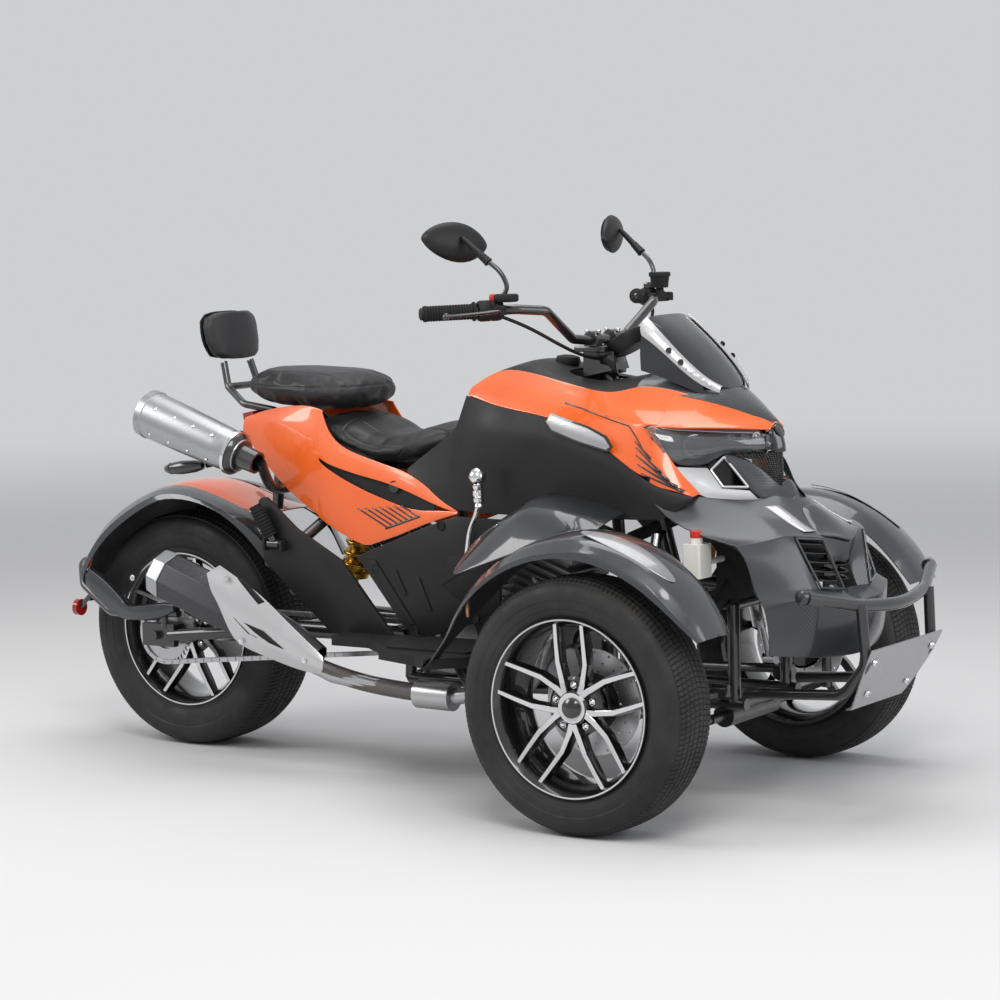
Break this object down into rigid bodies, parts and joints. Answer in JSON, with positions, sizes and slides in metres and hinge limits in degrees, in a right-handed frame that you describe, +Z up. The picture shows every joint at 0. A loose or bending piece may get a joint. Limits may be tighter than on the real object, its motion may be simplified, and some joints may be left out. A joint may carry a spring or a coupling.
{
  "type": "motorized reverse trike",
  "caption": "Reverse trike: steered wheels in front, chain-driven wheel behind, faceted cowl, bow bumper, saddle with pillion pad and backrest, handlebar steering.",
  "frame": {"origin": "on the ground under the middle of the overall length, on the centre plane", "axes": "+X forward, +Y to the rider's left, +Z up"},
  "size_m": [2.2918, 1.16, 1.307],
  "materials": {
    "black_alloy": "gloss black with machined spoke faces",
    "black_plastic": "satin black",
    "brushed_can": "brushed",
    "chrome_parts": "polished",
    "dark_can": "dark steel",
    "dark_metal": "satin black",
    "disc_steel": "ground steel",
    "grey_paint": "dark grey metallic",
    "grip_rubber": "matt",
    "lamp_clear": "smoked lens",
    "lamp_red": "red lens",
    "leather_black": "stitched",
    "orange_paint": "gloss orange",
    "screen_tint": "smoke tint",
    "shock_gold": "gold anodised",
    "silver_trim": "silver",
    "twill_grey": "grey twill under clear coat",
    "tyre_rubber": "matt tread",
    "white_plastic": "translucent white"
  },
  "bodies": {
    "chassis": {"backrest_bracket": "dark_metal", "backrest_pad": "leather_black", "bumper": "dark_metal", "chain": "disc_steel", "coolant_bottle": "white_plastic", "dash_panel": "black_plastic", "engine": "dark_metal", "exhaust_pipes": "dark_can", "fender_arches": "grey_paint", "footboards": "black_plastic", "frame": "dark_metal", "front_cowl": "twill_grey", "front_fender_left": "grey_paint", "front_fender_right": "grey_paint", "front_shocks": "shock_gold", "headlamps": "lamp_clear", "lower_muffler": "dark_can", "mid_side_panels": "black_plastic", "muffler_shield": "silver_trim", "nose_panel": "twill_grey", "pillion_seat": "leather_black", "plate_bracket": "dark_metal", "radiator": "black_plastic", "rear_fender": "orange_paint", "rear_fender_lip": "grey_paint", "rear_shock": "shock_gold", "rear_side_panels": "black_plastic", "red_lenses": "lamp_red", "rider_seat": "leather_black", "screen_base": "twill_grey", "screen_trims": "silver_trim", "shift_lever": "chrome_parts", "skid_plate": "silver_trim", "suspension_arms": "dark_metal", "swingarm": "dark_metal", "tail_panels": "orange_paint", "tank_sides": "black_plastic", "upper_cowl": "orange_paint", "upper_muffler": "brushed_can", "windscreen": "screen_tint"},
    "front_wheel_right": {"front_tyre_right": "tyre_rubber", "front_rim_right": "black_alloy", "front_disc_right": "disc_steel"},
    "front_wheel_left": {"front_tyre_left": "tyre_rubber", "front_rim_left": "black_alloy", "front_disc_left": "disc_steel"},
    "knuckle_right_body": {"knuckle_right": "dark_metal"},
    "knuckle_left_body": {"knuckle_left": "dark_metal"},
    "rack": {"tie_rods": "dark_metal"},
    "rear_wheel": {"rear_tyre": "tyre_rubber", "rear_rim": "black_alloy", "rear_hub": "disc_steel"},
    "steering": {"handlebar": "dark_metal", "grips": "grip_rubber", "controls": "black_plastic", "mirrors": "black_plastic", "steering_cover": "dark_metal", "cables": "grip_rubber"},
    "peg_right": {"passenger_peg_right": "chrome_parts"},
    "peg_left": {"passenger_peg_left": "chrome_parts"}
  },
  "joints": [
    {"name": "steer", "type": "hinge", "parent": "chassis", "child": "steering", "pos_m": [0.3971, 0, 0.95], "axis": [-0.4067, 0, 0.9135], "range_deg": [-36, 36]},
    {"name": "kingpin_right", "type": "hinge", "parent": "chassis", "child": "knuckle_right_body", "pos_m": [0.6321, -0.4, 0.28], "axis": [0, 0, 1], "range_deg": [-27, 27]},
    {"name": "kingpin_left", "type": "hinge", "parent": "chassis", "child": "knuckle_left_body", "pos_m": [0.6321, 0.4, 0.28], "axis": [0, 0, 1], "range_deg": [-27, 27]},
    {"name": "rack_slide", "type": "slide", "parent": "chassis", "child": "rack", "axis": [0, 1, 0], "range_m": [-0.0522, 0.0522]},
    {"name": "front_axle_right", "type": "hinge", "parent": "knuckle_right_body", "child": "front_wheel_right", "pos_m": [0.6321, -0.5025, 0.28], "axis": [0, 1, 0], "continuous": true},
    {"name": "front_axle_left", "type": "hinge", "parent": "knuckle_left_body", "child": "front_wheel_left", "pos_m": [0.6321, 0.5025, 0.28], "axis": [0, 1, 0], "continuous": true},
    {"name": "rear_axle", "type": "hinge", "parent": "chassis", "child": "rear_wheel", "pos_m": [-0.8179, 0, 0.295], "axis": [0, 1, 0], "continuous": true},
    {"name": "peg_fold_right", "type": "hinge", "parent": "chassis", "child": "peg_right", "pos_m": [-0.3949, -0.244, 0.548], "axis": [1, 0, 0], "range_deg": [0, 90]},
    {"name": "peg_fold_left", "type": "hinge", "parent": "chassis", "child": "peg_left", "pos_m": [-0.3949, 0.244, 0.548], "axis": [-1, 0, 0], "range_deg": [0, 90]}
  ],
  "couplings": [
    {"joint": "kingpin_right", "follows": "steer", "ratio": 0.7499},
    {"joint": "kingpin_left", "follows": "steer", "ratio": 0.7499},
    {"joint": "rack_slide", "follows": "steer", "m_per_rad": 0.083}
  ]
}
